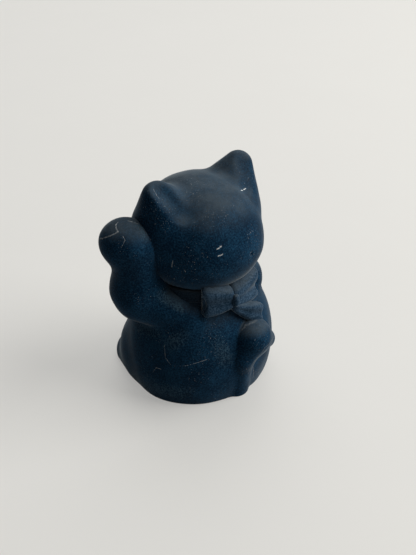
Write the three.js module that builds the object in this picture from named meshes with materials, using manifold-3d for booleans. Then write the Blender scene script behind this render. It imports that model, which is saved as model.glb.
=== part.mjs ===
// Lucky cat figurine: a seated cat with its left paw raised, assembled from solid castings.
// Millimetres, +Z up. The cat faces -Y and its left is +X. The origin is the centre of the flat base.
import * as THREE from 'three';
import { mergeVertices } from 'three/addons/utils/BufferGeometryUtils.js';
import Module from 'manifold-3d';

const wasm = await Module();
wasm.setup();

// Seats
const glueGap = 0.3;          // clearance left for glue between two castings
const pegDiameter = 3.6;      // dowel on an arm
const pegReach = 5;           // how far a dowel reaches into the body
const pegRootShare = 0.6;     // where a dowel starts, from an elbow's middle to its side
const raisedPegRootShare = 0.3;
const pegCover = 0.9;         // resin between a dowel and the collar's seat
const spigotDiameter = 8;     // dowel on top of the neck
const spigotHeight = 4;

// Body
const baseWidth = 32.3;       // widest part of the lower body
const baseDepth = 28.5;
const baseTop = 24.4;         // height where the lower body closes
const baseBulge = 6.8;        // height of its widest part
const chestWidth = 23.2;
const chestDepth = 23.4;
const chestHeight = 20;
const chestLevel = 14;        // height of the middle of the chest
const chestForward = 0.4;     // chest, neck and head stand this far in front of the base's centre
const neckDiameter = 19.4;
const neckSeat = 27;          // height of the flat face that the head sits on
const bodyBlend = 6;          // rounding between base and chest
const neckBlend = 2;

// Haunches and hind feet
const haunchWidth = 13.6;
const haunchDepth = 15.4;
const haunchHeight = 18.8;
const haunchInset = 7.6;      // from the side of the base to the haunch's middle
const haunchForward = 5.6;
const haunchLevel = 4.8;
const haunchBlend = 1.5;
const footWidth = 9.2;
const footLength = 10;
const footHeight = 5.2;       // above the floor
const footLevel = 1;          // height of the foot's middle
const footInset = 2.8;        // from the front of the base back to the foot's middle

// Head
const headWidth = 24.8;
const headDepth = 25.4;
const headHeight = 22.8;
const headSink = 4.9;         // how far the neck seat lies inside the head
const jowlWidth = 24;         // fuller lower half of the head
const jowlDepth = 25;
const jowlHeight = 15;
const jowlDrop = 2.4;         // its middle below the middle of the head
const jowlBlend = 3;
const headBlend = 1.2;

// Ears
const earRootRadius = 7.8;
const earTipRadius = 2.9;
const earLength = 9.1;
const earSplay = 26;          // lean to the side, degrees
const earSpacing = 13;        // between the middles of the two ear roots
const earRise = 2.4;          // ear root above the middle of the head
const earForward = 0.4;       // ears in front of the middle of the head
const earCupWidth = 4.6;
const earCupHeight = 6.8;
const earCupDepth = 1.9;
const earCupRound = 3;        // half depth of the ball that presses the hollow
const earCupShare = 0.62;     // share of the ear's length below the hollow's middle

// Face relief
const muzzleWidth = 6.8;      // one cheek of the muzzle
const muzzleHeight = 5.2;
const muzzleDepth = 5;
const muzzleSpacing = 5.2;
const muzzleSink = 0.8;       // muzzle's middle behind the front of the head
const muzzleDrop = 3.6;       // below the middle of the head
const noseWidth = 3;
const noseHeight = 2.2;
const noseDepth = 2.6;
const noseProud = 0.6;        // nose's middle in front of the head
const noseRise = 1.7;         // above the middle of the muzzle
const eyeWidth = 3.6;
const eyeHeight = 2.8;
const eyeDepth = 1;
const eyeSpacing = 8.4;
const eyeRise = 1.4;          // above the middle of the head
const faceBlend = 1.2;

// Arms
const upperArmRadius = 5.3;
const shoulderInset = 3.2;    // from the neck's side in to the shoulder's middle
const armBlend = 1.4;
const shoulderBack = 4.4;     // raised arm's shoulder behind the chest's middle
const shoulderDrop = 8.4;     // below the neck seat
const elbowRadius = 5.3;      // raised elbow
const elbowOut = 1.6;         // beyond the chest's side
const elbowForward = 2.1;     // in front of the chest's middle
const elbowRise = 4.2;        // above the shoulder
const forearmRadius = 5.6;
const forearmOut = 0.4;       // beyond the elbow
const forearmRise = 1.8;      // above the elbow
const wristRadius = 4.8;
const wristInward = 1.4;      // from the raised paw's middle towards the head
const wristBack = 1.2;        // behind the raised paw's middle
const wristDrop = 0.6;        // below the raised paw's middle
const pawRadius = 4.75;
const pawOut = 3.7;           // raised paw's middle beyond the head's side
const pawForward = 2.5;       // in front of the neck's middle
const pawRise = 8.3;          // above the neck seat
const loweredShoulderOut = 1.2;
const loweredShoulderBack = 3.2;
const loweredShoulderDrop = 6.4;
const loweredElbowRadius = 5.2;
const loweredElbowLevel = 14.5;
const loweredElbowOut = 1.4;
const loweredElbowForward = 3.8;
const loweredForearmRadius = 4.8;
const loweredPawRadius = 4.2;
const loweredPawLevel = 11;
const loweredPawSpread = 7.5; // lowered paw to the middle of the belly
const loweredPawForward = 12.4;
const loweredArmCoreShare = 0.4; // casting's middle, from elbow to paw
const toeGrooveWidth = 0.7;
const toeGrooveLength = 4.6;
const toeSpacing = 2.6;

// Tail
const tailFootRadius = 3.2;
const tailStemRadius = 2.5;
const tailBulbRadius = 3.8;
const tailTipRadius = 2.2;
const tailFootSink = 3.4;     // middle of the tail's foot inside the back of the base
const tailSink = 1;           // bulb's middle inside the back of the base
const tailHeight = 13.6;
const tailBulbHook = 2.4;     // bulb's middle to the cat's right
const tailHook = 6.1;         // tip to the cat's right
const tailDroop = 2.2;        // tip below the bulb's middle
const tailBlend = 1.5;

// Collar, bow and bell
const collarHeight = 2.8;
const collarProud = 0.9;      // band beyond the body at its lower edge
const collarRounding = 0.5;   // of the band's outer edges
const collarDrop = 2.6;       // band's middle below the neck seat
const bowProud = 0.7;         // middle of the bow beyond the band
const bowTurn = 1.2;          // middle of the bow to the cat's left of the nape
const knotWidth = 1.5;
const knotHeight = 2.8;
const knotDepth = 4.4;
const knotDrop = 0.9;         // knot's middle below the band's middle
const ribbonStart = 0.5;      // ribbons start this far from the knot's middle
const ribbonRoundShare = 0.4; // rounding of a ribbon's edges to its thickness
const ribbonCoreShare = 0.6;  // casting's middle, from the knot to the far end
const leftLoopLength = 6.3;   // from the knot's middle along the neck
const rightLoopLength = 8;
const loopRise = 0.4;         // loops' middle above the knot's middle
const loopHeight = 7.4;       // at its far end
const loopRootHeight = 4.5;   // at the knot
const loopThickness = 3.2;
const endLength = 5.9;
const endWidth = 4.8;         // ribbon end where it is cut off
const endRootWidth = 2;
const endThickness = 2.6;
const endRootDrop = 1.6;      // below the knot's middle where it leaves the knot
const endDrop = 6.9;          // below the knot's middle where it is cut off
const bellDiameter = 5.2;
const bellRim = 0.4;
const bellSlot = 0.6;
const bellSlotDepth = 0.8;
const bellSlotRise = 1.8;     // slot's upper end above the bell's lowest point
const bellStandoff = 1.5;     // bell's middle in front of the band
const bellHang = 3.3;         // bell's middle below the band's middle

// Finish: one matte navy black all over
const catColour = 0x252d36;
const bowColour = 0x28313a;
const matteRoughness = 0.85;

// Facets round and along each casting
const bodyFacets = [40, 28];
const headFacets = [62, 24];
const armFacets = [26, 18];
const footFacets = [18, 10];
const tailFacets = [24, 18];
const ribbonFacets = [22, 12];
const smallFacets = [14, 10];
const grooveFacets = [10, 6];
const turnedFacets = 32;
const dowelFacets = 16;
const bellArcFacets = 6;

const point = (x, y, z) => new THREE.Vector3(x, y, z);
const reach = 60;             // longer than any ray inside one casting
const halvings = 24;          // steps of the search along a ray
const weld = 1e-4;            // vertices closer than this are one
const left = 1;
const right = -1;

// Fields: negative inside a form, positive outside, in about a millimetre.

function ellipsoid(centre, width, depth, height) {
  const radii = point(width / 2, depth / 2, height / 2);
  return (p) => {
    const q = p.clone().sub(centre).divide(radii);
    const level = q.length();
    const slope = q.divide(radii).length() || 1;
    return (level * (level - 1)) / slope;
  };
}

// A ball that travels from a to b while its radius goes from ra to rb.
function taper(a, b, ra, rb) {
  const axis = b.clone().sub(a);
  const length = axis.length();
  axis.normalize();
  const slope = (rb - ra) / length;
  const lean = slope / Math.sqrt(1 - slope * slope);
  return (p) => {
    const q = p.clone().sub(a);
    const along = q.dot(axis);
    const off = Math.sqrt(Math.max(q.lengthSq() - along * along, 0));
    const t = THREE.MathUtils.clamp(along + off * lean, 0, length);
    return Math.hypot(along - t, off) - ra - slope * t;
  };
}

// Joins fields with a rounded valley of the given radius.
function blend(radius, ...fields) {
  return (p) => fields.map((field) => field(p)).reduce((a, b) => {
    const h = THREE.MathUtils.clamp(0.5 + (b - a) / (2 * radius), 0, 1);
    return b + (a - b) * h - radius * h * (1 - h);
  });
}

// Solids

function solidOf(geometry) {
  const bare = geometry.clone();
  bare.deleteAttribute('normal');
  bare.deleteAttribute('uv');
  const merged = mergeVertices(bare, weld);
  return new wasm.Manifold(new wasm.Mesh({
    numProp: 3,
    vertProperties: new Float32Array(merged.attributes.position.array),
    triVerts: new Uint32Array(merged.index.array),
  }));
}

// Where the line from inside a field to outside it meets the field's surface, grown by a clearance.
function meet(field, inside, outside, clearance = 0) {
  let near = 0;
  let far = 1;
  const place = point(0, 0, 0);
  for (let step = 0; step < halvings; step += 1) {
    const middle = (near + far) / 2;
    if (field(place.lerpVectors(inside, outside, middle)) < clearance) near = middle;
    else far = middle;
  }
  return place.lerpVectors(inside, outside, near);
}

// Pushes a ball's vertices out from centre until they meet the field's surface.
function casting(field, centre, facets, { clearance = 0, poleUp = true } = {}) {
  const geometry = new THREE.SphereGeometry(reach, ...facets);
  if (poleUp) geometry.rotateX(Math.PI / 2);
  const vertices = geometry.attributes.position;
  const outside = point(0, 0, 0);
  for (let i = 0; i < vertices.count; i += 1) {
    outside.fromBufferAttribute(vertices, i).add(centre);
    const place = meet(field, centre, outside, clearance);
    vertices.setXYZ(i, place.x, place.y, place.z);
  }
  return solidOf(geometry);
}

// A form as cast, and the same form grown by the glue gap, which cuts the seats of its neighbours.
function form(field, centre, facets, poleUp = true) {
  return {
    solid: casting(field, centre, facets, { poleUp }),
    grown: casting(field, centre, facets, { poleUp, clearance: glueGap }),
  };
}

function box(width, depth, height, centre) {
  return solidOf(new THREE.BoxGeometry(width, depth, height).translate(centre.x, centre.y, centre.z));
}

// A round dowel between two points, with an optional clearance all round.
function dowel(diameter, from, to, clearance = 0, facets = dowelFacets) {
  const run = to.clone().sub(from);
  const length = run.length() + 2 * clearance;
  const radius = diameter / 2 + clearance;
  const geometry = new THREE.CylinderGeometry(radius, radius, length, facets);
  const turn = new THREE.Quaternion().setFromUnitVectors(point(0, 1, 0), run.clone().normalize());
  const middle = from.clone().addScaledVector(run, 0.5);
  geometry.applyQuaternion(turn).translate(middle.x, middle.y, middle.z);
  return solidOf(geometry);
}

// What stands between two heights.
function slab(solid, low, high) {
  return solid.intersect(box(2 * reach, 2 * reach, high - low, point(0, 0, (low + high) / 2)));
}

function cut(solid, ...cutters) {
  return cutters.reduce((rest, cutter) => rest.subtract(cutter), solid);
}

function meshOf(name, solid, colour) {
  const { vertProperties, triVerts } = solid.getMesh();
  const geometry = new THREE.BufferGeometry();
  geometry.setAttribute('position', new THREE.BufferAttribute(vertProperties, 3));
  geometry.setIndex(new THREE.BufferAttribute(triVerts, 1));
  geometry.computeVertexNormals();
  const material = new THREE.MeshStandardMaterial({ color: colour, roughness: matteRoughness, metalness: 0 });
  const mesh = new THREE.Mesh(geometry, material);
  mesh.name = name;
  return mesh;
}

// Places shared by several pieces
const neckLine = -chestForward;
const headCentre = point(0, neckLine, neckSeat - headSink + headHeight / 2);
const collarLevel = neckSeat - collarDrop;
const shoulderSpan = neckDiameter / 2 - shoulderInset;

// Body with haunches
const haunch = (side) => ellipsoid(
  point(side * (baseWidth / 2 - haunchInset), -haunchForward, haunchLevel),
  haunchWidth, haunchDepth, haunchHeight,
);
const trunk = blend(
  neckBlend,
  blend(
    bodyBlend,
    ellipsoid(point(0, 0, baseBulge), baseWidth, baseDepth, 2 * (baseTop - baseBulge)),
    ellipsoid(point(0, neckLine, chestLevel), chestWidth, chestDepth, chestHeight),
  ),
  taper(point(0, neckLine, chestLevel), point(0, neckLine, neckSeat), neckDiameter / 2, neckDiameter / 2),
);
const bodyField = blend(haunchBlend, trunk, haunch(left), haunch(right));
const bodyForm = form(bodyField, point(0, neckLine, chestLevel), bodyFacets);
const bodyBlock = slab(bodyForm.solid, 0, neckSeat);
const bodyCutter = slab(bodyForm.grown, -reach, neckSeat + glueGap);
const spigotFrom = point(0, neckLine, neckSeat - spigotHeight);
const spigotTo = point(0, neckLine, neckSeat + spigotHeight);

// Head with ears, ear hollows, muzzle, nose and eyes
function earPlaces(side) {
  const lean = THREE.MathUtils.degToRad(earSplay);
  const direction = point(side * Math.sin(lean), 0, Math.cos(lean));
  const root = point(side * earSpacing / 2, neckLine - earForward, headCentre.z + earRise);
  return { root, tip: root.clone().addScaledVector(direction, earLength) };
}

function ear(side) {
  const { root, tip } = earPlaces(side);
  return taper(root, tip, earRootRadius, earTipRadius);
}

function earCup(side) {
  const { root, tip } = earPlaces(side);
  const front = THREE.MathUtils.lerp(earRootRadius, earTipRadius, earCupShare);
  const centre = root.clone().lerp(tip, earCupShare).add(point(0, -front - earCupRound + earCupDepth, 0));
  return casting(ellipsoid(centre, earCupWidth, 2 * earCupRound, earCupHeight), centre, smallFacets);
}

const faceFront = neckLine - headDepth / 2;
const cheek = (side) => ellipsoid(
  point(side * muzzleSpacing / 2, faceFront + muzzleSink, headCentre.z - muzzleDrop),
  muzzleWidth, muzzleDepth, muzzleHeight,
);
const jowlCentre = headCentre.clone().add(point(0, 0, -jowlDrop));
const skull = blend(
  jowlBlend,
  ellipsoid(headCentre, headWidth, headDepth, headHeight),
  ellipsoid(jowlCentre, jowlWidth, jowlDepth, jowlHeight),
);
const headField = blend(
  faceBlend,
  blend(headBlend, skull, ear(left), ear(right)),
  cheek(left), cheek(right),
);
const headForm = form(headField, headCentre, headFacets, false);

function nose() {
  const centre = point(0, faceFront - noseProud, headCentre.z - muzzleDrop + noseRise);
  return casting(ellipsoid(centre, noseWidth, noseDepth, noseHeight), centre, smallFacets);
}

function eye(side) {
  const front = point(side * eyeSpacing / 2, faceFront, headCentre.z + eyeRise);
  const centre = meet(headField, headCentre, front.lerp(headCentre, -1));
  return casting(ellipsoid(centre, eyeWidth, eyeDepth, eyeHeight), centre, smallFacets);
}

const head = cut(
  headForm.solid.add(nose()).add(eye(left)).add(eye(right)),
  bodyCutter,
  dowel(spigotDiameter, spigotFrom, spigotTo, glueGap),
  earCup(left),
  earCup(right),
);

// Collar: a band that lies round the neck, under the head
const collarFoot = point(0, neckLine, collarLevel - collarHeight / 2);
const collarRadius = meet(bodyField, collarFoot, collarFoot.clone().setX(reach)).x + collarProud;
function collarRing(clearance) {
  const outer = collarRadius + clearance;
  const inner = neckDiameter / 2 - collarProud;
  const half = collarHeight / 2 + clearance;
  const profile = [
    [inner, -half], [outer - collarRounding, -half], [outer, -half + collarRounding],
    [outer, half - collarRounding], [outer - collarRounding, half], [inner, half], [inner, -half],
  ].map(([x, y]) => new THREE.Vector2(x, y));
  const geometry = new THREE.LatheGeometry(profile, turnedFacets);
  geometry.rotateX(Math.PI / 2).translate(0, neckLine, collarLevel);
  return solidOf(geometry);
}
const collar = cut(collarRing(0), bodyCutter, headForm.grown);
const collarCutter = collarRing(glueGap);
const collarWell = dowel(2 * collarRadius, collarFoot, headCentre, glueGap, turnedFacets);

// Grooves between the toes, on the front of a paw
function toeGrooves(pawCentre, pawFront) {
  return [left, right].map((side) => {
    const centre = pawCentre.clone().add(point(side * toeSpacing / 2, -pawFront, 0));
    const groove = ellipsoid(centre, toeGrooveWidth, toeGrooveLength / 2, toeGrooveLength);
    return casting(groove, centre, grooveFacets);
  });
}

// A peg that starts inside a piece and reaches into the body, and the socket for it
function pegPair(inPiece, inBody) {
  const seat = meet(bodyField, inBody, inPiece);
  const tip = seat.clone().addScaledVector(inBody.clone().sub(inPiece).normalize(), pegReach);
  return {
    peg: dowel(pegDiameter, inPiece, tip),
    socket: dowel(pegDiameter, inPiece, tip, glueGap),
  };
}

// Raised left arm: elbow at the chest's side, forearm upright, paw beside the head
const raisedShoulder = point(shoulderSpan, neckLine + shoulderBack, neckSeat - shoulderDrop);
const raisedElbow = point(chestWidth / 2 + elbowOut, neckLine - elbowForward, raisedShoulder.z + elbowRise);
const forearm = raisedElbow.clone().add(point(forearmOut, 0, forearmRise));
const raisedPaw = point(headWidth / 2 + pawOut, neckLine - pawForward, neckSeat + pawRise);
const raisedWrist = raisedPaw.clone().add(point(-wristInward, wristBack, -wristDrop));
const raisedArmField = blend(
  armBlend,
  taper(raisedShoulder, raisedElbow, upperArmRadius, elbowRadius),
  taper(raisedElbow, forearm, elbowRadius, forearmRadius),
  taper(forearm, raisedWrist, wristRadius, wristRadius),
  ellipsoid(raisedPaw, 2 * pawRadius, 2 * pawRadius, 2 * pawRadius),
);
const raisedArmForm = form(raisedArmField, forearm, armFacets);
const raisedPegLevel = collarLevel - collarHeight / 2 - pegCover - pegDiameter / 2;
const raisedPeg = pegPair(
  raisedElbow.clone().add(point(raisedPegRootShare * elbowRadius, 0, 0)).setZ(raisedPegLevel),
  point(0, neckLine, raisedPegLevel),
);
const raisedArm = cut(
  raisedArmForm.solid,
  bodyCutter,
  headForm.grown,
  collarWell,
  ...toeGrooves(raisedPaw, pawRadius),
).add(raisedPeg.peg);

// Lowered right arm: elbow at the side, paw on the belly
const loweredShoulder = point(
  -shoulderSpan - loweredShoulderOut,
  neckLine + loweredShoulderBack,
  neckSeat - loweredShoulderDrop,
);
const loweredElbow = point(
  -chestWidth / 2 - loweredElbowOut,
  neckLine - loweredElbowForward,
  loweredElbowLevel,
);
const loweredPaw = point(-loweredPawSpread, neckLine - loweredPawForward, loweredPawLevel);
const loweredArmField = blend(
  armBlend,
  taper(loweredShoulder, loweredElbow, upperArmRadius, loweredElbowRadius),
  taper(loweredElbow, loweredPaw, loweredForearmRadius, loweredPawRadius),
);
const loweredArmCore = loweredElbow.clone().lerp(loweredPaw, loweredArmCoreShare);
const loweredArmForm = form(loweredArmField, loweredArmCore, armFacets);
const loweredPeg = pegPair(
  loweredElbow.clone().add(point(-pegRootShare * loweredElbowRadius, 0, 0)),
  point(0, neckLine, loweredElbowLevel),
);
const loweredArm = cut(
  loweredArmForm.solid,
  bodyCutter,
  headForm.grown,
  collarWell,
  ...toeGrooves(loweredPaw, loweredPawRadius),
).add(loweredPeg.peg);

// Hind feet, flat under the sole
function hindFoot(side) {
  const centre = point(side * (baseWidth / 2 - haunchInset), -baseDepth / 2 + footInset, footLevel);
  const field = ellipsoid(centre, footWidth, footLength, 2 * (footHeight - footLevel));
  const foot = form(field, centre, footFacets);
  return cut(slab(foot.solid, 0, reach), bodyCutter, ...toeGrooves(centre, footLength / 2));
}

// Tail: a stem up the back, a bulb, and a tip that hooks to the right, set in a groove in the body
const tailLine = baseDepth / 2 - tailSink;
const tailFoot = point(0, baseDepth / 2 - tailFootSink, 0);
const tailBend = point(0, tailLine, tailHeight - tailBulbRadius);
const tailBulb = point(-tailBulbHook, tailLine, tailHeight);
const tailTip = point(-tailHook, tailLine, tailHeight - tailDroop);
const tailField = blend(
  tailBlend,
  taper(tailFoot, tailBend, tailFootRadius, tailStemRadius),
  taper(tailBend, tailBulb, tailStemRadius, tailBulbRadius),
  taper(tailBulb, tailTip, tailBulbRadius, tailTipRadius),
);
const tailForm = form(tailField, tailBend, tailFacets);
const tail = slab(tailForm.solid, 0, reach);

// Bow: a knot at the nape, a loop on each side and a ribbon end on the right, all round the neck
const bowRadius = collarRadius + bowProud;
const knotLevel = collarLevel - knotDrop;

// A point at the nape, from its place along the bow, its distance from the neck's middle and its height
function atNape(along, radius, level) {
  const angle = (along + bowTurn) / bowRadius;
  return point(radius * Math.sin(angle), neckLine + radius * Math.cos(angle), level);
}

// How far from the neck's middle a ribbon lies at that place, on the neck or on the back below it
function bedRadius(along, level) {
  const back = meet(bodyField, point(0, neckLine, level), atNape(along, reach, level));
  return Math.max(Math.hypot(back.x, back.y - neckLine) + bowProud, bowRadius);
}

// A flat band that widens from the knot to its far end and lies on the neck and back
function ribbon(side, length, thickness, root, far) {
  const { lerp, clamp } = THREE.MathUtils;
  const farRadius = bedRadius(side * length, knotLevel - far.drop);
  const round = ribbonRoundShare * thickness;
  const field = (p) => {
    const across = p.y - neckLine;
    const along = side * (bowRadius * Math.atan2(p.x, across) - bowTurn);
    const share = clamp((along - ribbonStart) / (length - ribbonStart), 0, 1);
    const out = Math.hypot(p.x, across) - lerp(bowRadius, farRadius, share);
    const height = p.z - knotLevel + lerp(root.drop, far.drop, share);
    const past = [
      Math.abs(height) - lerp(root.width, far.width, share) / 2,
      Math.max(along - length, ribbonStart - along),
      Math.abs(out) - thickness / 2,
    ].map((distance) => distance + round);
    const outer = Math.hypot(...past.map((distance) => Math.max(distance, 0)));
    return outer + Math.min(Math.max(...past), 0) - round;
  };
  const middle = lerp(ribbonStart, length, ribbonCoreShare);
  const level = knotLevel - lerp(root.drop, far.drop, ribbonCoreShare);
  const centre = atNape(side * middle, lerp(bowRadius, farRadius, ribbonCoreShare), level);
  return form(field, centre, ribbonFacets);
}

const knotCentre = atNape(0, bowRadius, knotLevel);
const knotForm = form(ellipsoid(knotCentre, knotWidth, knotDepth, knotHeight), knotCentre, smallFacets);
const carriers = [bodyCutter, headForm.grown, collarCutter, raisedArmForm.grown, loweredArmForm.grown];
const knot = cut(knotForm.solid, ...carriers);
const loopForm = (side, length) => ribbon(
  side, length, loopThickness,
  { width: loopRootHeight, drop: -loopRise },
  { width: loopHeight, drop: -loopRise },
);
const loops = { [left]: loopForm(left, leftLoopLength), [right]: loopForm(right, rightLoopLength) };
const loop = (side) => cut(loops[side].solid, ...carriers, knotForm.grown);
const endForm = ribbon(
  right, endLength, endThickness,
  { width: endRootWidth, drop: endRootDrop },
  { width: endWidth, drop: endDrop },
);
const ribbonEnd = cut(
  endForm.solid, ...carriers, knotForm.grown, loops[left].grown, loops[right].grown, tailForm.grown,
);

// Bell at the throat: a ball with a rim round its middle and a slot under it
function bell() {
  const radius = bellDiameter / 2;
  const centre = point(0, neckLine - collarRadius - bellStandoff, collarLevel - bellHang);
  const arc = (from, to) => new THREE.EllipseCurve(0, 0, radius, radius, from, to).getPoints(bellArcFacets);
  const rimAngle = Math.asin(bellRim / radius);
  const profile = [
    ...arc(-Math.PI / 2, -rimAngle),
    new THREE.Vector2(radius + bellRim, -bellRim / 2),
    new THREE.Vector2(radius + bellRim, bellRim / 2),
    ...arc(rimAngle, Math.PI / 2),
  ];
  profile[0].x = 0;
  profile[profile.length - 1].x = 0;
  const ball = new THREE.LatheGeometry(profile, dowelFacets).rotateX(Math.PI / 2);
  const core = new THREE.SphereGeometry(radius - bellSlotDepth, ...smallFacets);
  const slotMiddle = centre.clone().add(point(0, 0, -radius));
  const slot = box(bellSlot, 2 * bellDiameter, 2 * bellSlotRise, slotMiddle)
    .subtract(solidOf(core.translate(centre.x, centre.y, centre.z)));
  return cut(solidOf(ball.translate(centre.x, centre.y, centre.z)), slot, ...carriers);
}

// The body last, because each peg needs its socket
const body = cut(
  bodyBlock.add(dowel(spigotDiameter, spigotFrom, spigotTo)),
  raisedPeg.socket,
  loweredPeg.socket,
  tailForm.grown,
);

const bow = new THREE.Group();
bow.add(
  meshOf('bow_knot', knot, bowColour),
  meshOf('bow_left_loop', loop(left), bowColour),
  meshOf('bow_right_loop', loop(right), bowColour),
  meshOf('bow_right_end', ribbonEnd, bowColour),
);

const collarSet = new THREE.Group();
collarSet.add(meshOf('collar_band', collar, bowColour), meshOf('collar_bell', bell(), bowColour), bow);

const cat = new THREE.Group();
cat.name = 'lucky_cat';
cat.add(
  meshOf('body_casting', body, catColour),
  meshOf('head_casting', head, catColour),
  meshOf('raised_arm', raisedArm, catColour),
  meshOf('lowered_arm', loweredArm, catColour),
  meshOf('left_hind_foot', hindFoot(left), catColour),
  meshOf('right_hind_foot', hindFoot(right), catColour),
  meshOf('tail', tail, catColour),
  collarSet,
);

export default cat;
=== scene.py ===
"""Lucky cat figurine: a seated cat with a raised left paw, in matte navy-black resin on a pale table."""

import math

import bpy
import numpy as np
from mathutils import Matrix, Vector


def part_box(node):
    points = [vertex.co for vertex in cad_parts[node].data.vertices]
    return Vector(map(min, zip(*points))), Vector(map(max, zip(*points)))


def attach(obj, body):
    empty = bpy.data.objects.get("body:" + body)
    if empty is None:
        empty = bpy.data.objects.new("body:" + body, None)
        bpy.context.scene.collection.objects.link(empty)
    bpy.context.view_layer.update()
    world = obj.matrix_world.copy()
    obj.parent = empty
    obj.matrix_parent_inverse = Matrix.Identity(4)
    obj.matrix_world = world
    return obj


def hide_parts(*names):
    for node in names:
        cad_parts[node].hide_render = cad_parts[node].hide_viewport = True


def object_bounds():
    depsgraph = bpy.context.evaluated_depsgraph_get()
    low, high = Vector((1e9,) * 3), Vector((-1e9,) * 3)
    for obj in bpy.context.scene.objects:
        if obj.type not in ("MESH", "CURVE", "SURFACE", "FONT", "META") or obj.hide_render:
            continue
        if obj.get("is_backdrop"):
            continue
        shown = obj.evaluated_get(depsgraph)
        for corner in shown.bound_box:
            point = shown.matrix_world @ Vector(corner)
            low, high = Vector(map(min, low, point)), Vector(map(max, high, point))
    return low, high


bl_info = {
    "name": "Lucky cat figurine",
    "version": (1, 0, 0),
    "blender": (4, 5, 0),
    "location": "3D View > Sidebar > Figurine",
    "description": "Builds a seated cat with a raised paw, a bow and a bell, over its packed solids",
    "category": "Object",
}

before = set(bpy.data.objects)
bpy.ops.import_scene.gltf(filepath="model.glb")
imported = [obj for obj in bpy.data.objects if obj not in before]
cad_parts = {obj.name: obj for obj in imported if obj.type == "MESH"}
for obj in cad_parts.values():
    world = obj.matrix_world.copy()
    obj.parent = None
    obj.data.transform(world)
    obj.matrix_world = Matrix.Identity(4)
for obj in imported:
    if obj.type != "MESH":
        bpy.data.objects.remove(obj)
CAD_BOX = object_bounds()

MM = 0.001
LEFT = 1
RIGHT = -1
TUCK = 0.05 * MM  # how far a fillet ends under the surface it leads to
SEAT_DEPTH = 1.4 * MM  # how far a glued piece reaches into the one that carries it

# Fine sizes and counts that are seldom changed

WAVE_COUNT = 9  # waves in an uneven surface
BEYOND = 60 * MM  # further than the surface of any form from its inside
HALVINGS = 24  # steps that find a surface between inside and outside
COARSE = 4  # grid cells between the first, rough samples of a field
MESH_MARGIN = 2 * MM  # room for fillets round the box of a node
STROKES = 3  # strokes from one direction of a mark to the next
# Wide patches on the shoulder ridge and the top of the haunch are painted highlights as well as powder.
WIDE_MARK = 1 * MM  # a mark wider than this is a patch of powder, not a scratch

TRUNK_VALLEY = 6 * MM  # radii of the rounded valleys where forms meet
NECK_VALLEY = 2 * MM
HAUNCH_VALLEY = 1.5 * MM
JOWL_VALLEY = 3 * MM
EAR_VALLEY = 1.2 * MM
MUZZLE_VALLEY = 1.2 * MM
NOSE_VALLEY = 0.5 * MM
LID_VALLEY = 0.2 * MM
ARM_VALLEY = 1.4 * MM
TAIL_VALLEY = 1.5 * MM
RIM_VALLEY = 0.25 * MM

HOLLOW_EDGE = 0.6 * MM  # radii of the rounded edges of hollows, grooves and soles
GROOVE_EDGE = 0.8 * MM
TOE_EDGE = 0.3 * MM
PINHOLE_EDGE = 0.3 * MM
FLOOR_EDGE = 0.3 * MM
SLOT_EDGE = 0.15 * MM

NOSE = 3 * MM, 2.6 * MM, 2.2 * MM  # width, depth and height
EYELID = 3.6 * MM, 1.2 * MM, 2.8 * MM
EAR_HOLLOW = 4.6 * MM, 6 * MM, 6.8 * MM
TOE_GROOVE = 0.7 * MM, 2.3 * MM, 4.6 * MM
PINHOLE = 0.8 * MM, 0.8 * MM, 0.8 * MM

MUZZLE_SINK = 0.8 * MM  # behind the front of the head
LID_SINK = 0.95 * MM
NOSE_PROUD = 0.6 * MM  # in front of the head
NOSE_RISE = 1.7 * MM  # above the muzzle's middle
HOLLOW_WAY = 0.62  # share of the ear's length, from its root
HOLLOW_FORWARD = 5.2 * MM  # in front of the ear's middle line
PINHOLE_ANGLES = (191, -4)  # direction from the middle of the head
EAR_GROOVE_ANGLES = ((83, 52), (62, 42))  # degrees round from the back towards an ear, and up
EAR_GROOVE_RADIUS = 3.6 * MM
EAR_GROOVE_DEPTH = {LEFT: 0.5 * MM, RIGHT: 0.1 * MM}

LOOP_FOLD = (-0.15, 0.5, 1.1 * MM)  # place and width of a crease in half heights, and its depth
END_FOLD = (0.1, 0.3, 0.25 * MM)
ROOT_CREASE = 0.3  # share of a crease's depth at the knot
LOOP_LEAN = 1.3 * MM  # upper edge of a loop towards the neck
RIBBON_START = -0.4 * MM  # ribbons reach this far past the middle of the knot


# Sizes and finishes that a user would change


def length(name, description, millimetres):
    return bpy.props.FloatProperty(
        name=name, description=description, default=millimetres * MM, unit="LENGTH", precision=5
    )


def colour(name, description, red, green, blue):
    return bpy.props.FloatVectorProperty(
        name=name, description=description, default=(red, green, blue), subtype="COLOR", min=0, max=1
    )


def share(name, description, amount):
    return bpy.props.FloatProperty(
        name=name, description=description, default=amount, subtype="FACTOR", min=0, max=1
    )


def power(name, description, watts):
    return bpy.props.FloatProperty(
        name=name, description=description, default=watts, min=0, unit="POWER"
    )


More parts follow.
